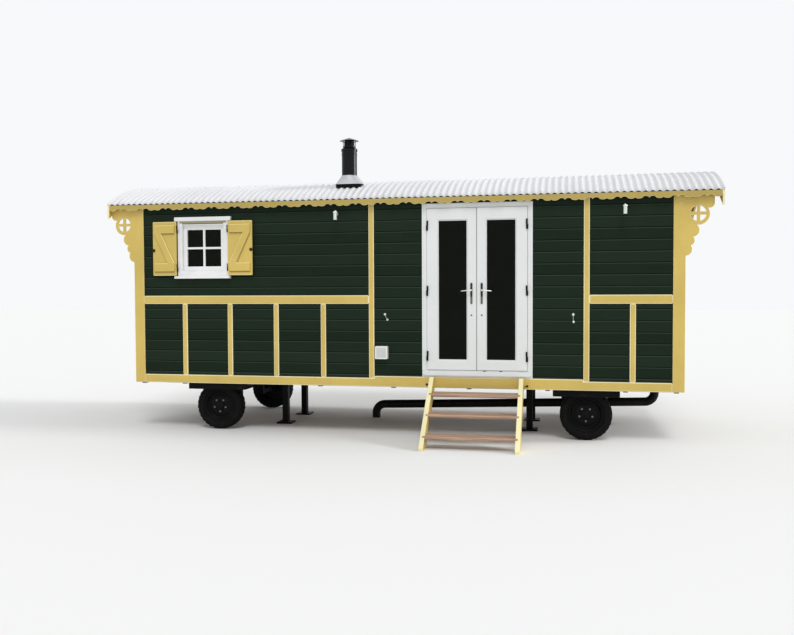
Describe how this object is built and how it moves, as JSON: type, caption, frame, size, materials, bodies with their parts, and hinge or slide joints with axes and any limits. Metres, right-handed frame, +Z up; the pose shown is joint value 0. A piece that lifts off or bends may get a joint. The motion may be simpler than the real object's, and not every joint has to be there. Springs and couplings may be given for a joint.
{
  "type": "shepherds hut",
  "caption": "Timber shepherd's hut with a barrel corrugated roof, glazed double doors, shuttered window, steps and road wheels.",
  "frame": {"origin": "on the ground, under the middle of the whole footprint, steps and roof overhangs included", "axes": "+Z up, +X along the hut to the right as one faces the doors, the doors facing -Y"},
  "size_m": [7.39, 3.225, 3.6478],
  "materials": {
    "green_cladding": "dark green painted boards, satin",
    "ochre_paint": "ochre yellow painted timber, satin",
    "pale_yellow_paint": "pale yellow painted timber, satin",
    "white_paint": "white painted timber, satin",
    "white_door": "smooth white, semi-gloss",
    "roof_steel": "pale grey-white coated corrugated sheet",
    "deck_boards": "planed softwood",
    "floor_boards": "planed softwood",
    "oiled_timber": "oiled brown timber",
    "glass": "clear window glass",
    "black_steel": "black painted steel, satin",
    "black_flue": "gloss black enamelled steel",
    "flashing_metal": "dull silver sheet",
    "light_steel": "brushed steel",
    "handle_metal": "brushed steel",
    "tyre_rubber": "black tyre rubber",
    "black_pipe": "black plastic pipe",
    "white_plastic": "white plastic"
  },
  "bodies": {
    "hut": {"floor": "floor_boards", "front_wall_left": "green_cladding", "front_wall_right": "green_cladding", "front_wall_over_door": "green_cladding", "rear_wall": "green_cladding", "left_end_wall": "green_cladding", "right_end_wall": "green_cladding", "roof_deck": "deck_boards", "roof_sheet": "roof_steel", "valances": "ochre_paint", "end_fascias": "ochre_paint", "front_corner_boards": "ochre_paint", "rear_corner_boards": "ochre_paint", "skirt_boards": "ochre_paint", "mid_rails": "ochre_paint", "front_battens": "ochre_paint", "rear_battens": "ochre_paint", "end_battens": "ochre_paint", "window_frame": "white_paint", "window_casement": "white_paint", "window_glass": "glass", "shutter_pintles": "black_steel", "door_frame": "white_door", "frame_hinges": "black_steel", "flue_pipe": "black_flue", "flue_cowl": "black_flue", "flue_flashing": "flashing_metal", "wall_lights": "light_steel", "outlet_box": "white_plastic", "step_stringers": "pale_yellow_paint", "step_treads": "oiled_timber", "floor_bearers": "deck_boards", "chassis_rails": "black_steel", "stub_axles": "black_steel", "mudguards": "black_steel", "prop_legs": "black_steel", "waste_pipe": "black_pipe"},
    "left_door": {"left_door": "white_door", "left_door_glass": "glass", "left_door_handles": "handle_metal", "left_door_hinges": "black_steel"},
    "right_door": {"right_door": "white_door", "right_door_glass": "glass", "right_door_handles": "handle_metal", "right_door_hinges": "black_steel"},
    "left_shutter": {"left_shutter": "ochre_paint"},
    "right_shutter": {"right_shutter": "ochre_paint"},
    "front_left_road_wheel": {"front_left_tyre": "tyre_rubber", "front_left_wheel": "black_steel"},
    "rear_left_road_wheel": {"rear_left_tyre": "tyre_rubber", "rear_left_wheel": "black_steel"},
    "front_right_road_wheel": {"front_right_tyre": "tyre_rubber", "front_right_wheel": "black_steel"},
    "rear_right_road_wheel": {"rear_right_tyre": "tyre_rubber", "rear_right_wheel": "black_steel"}
  },
  "joints": [
    {"name": "left_door_hinge", "type": "hinge", "parent": "hut", "child": "left_door", "pos_m": [0.396, -0.7728, 1.736], "axis": [0, 0, -1], "range_deg": [0, 170]},
    {"name": "right_door_hinge", "type": "hinge", "parent": "hut", "child": "right_door", "pos_m": [1.554, -0.7728, 1.736], "axis": [0, 0, 1], "range_deg": [0, 170]},
    {"name": "left_shutter_hinge", "type": "hinge", "parent": "hut", "child": "left_shutter", "pos_m": [-2.763, -0.7975, 2.274], "axis": [0, 0, 1], "range_deg": [0, 180]},
    {"name": "right_shutter_hinge", "type": "hinge", "parent": "hut", "child": "right_shutter", "pos_m": [-2.097, -0.7975, 2.274], "axis": [0, 0, -1], "range_deg": [0, 180]},
    {"name": "front_left_wheel_spin", "type": "hinge", "parent": "hut", "child": "front_left_road_wheel", "pos_m": [-2.295, -0.5575, 0.2985], "axis": [0, 1, 0], "continuous": true},
    {"name": "rear_left_wheel_spin", "type": "hinge", "parent": "hut", "child": "rear_left_road_wheel", "pos_m": [-2.295, 1.3325, 0.2985], "axis": [0, 1, 0], "continuous": true},
    {"name": "front_right_wheel_spin", "type": "hinge", "parent": "hut", "child": "front_right_road_wheel", "pos_m": [2.225, -0.5575, 0.2985], "axis": [0, 1, 0], "continuous": true},
    {"name": "rear_right_wheel_spin", "type": "hinge", "parent": "hut", "child": "rear_right_road_wheel", "pos_m": [2.225, 1.3325, 0.2985], "axis": [0, 1, 0], "continuous": true}
  ]
}
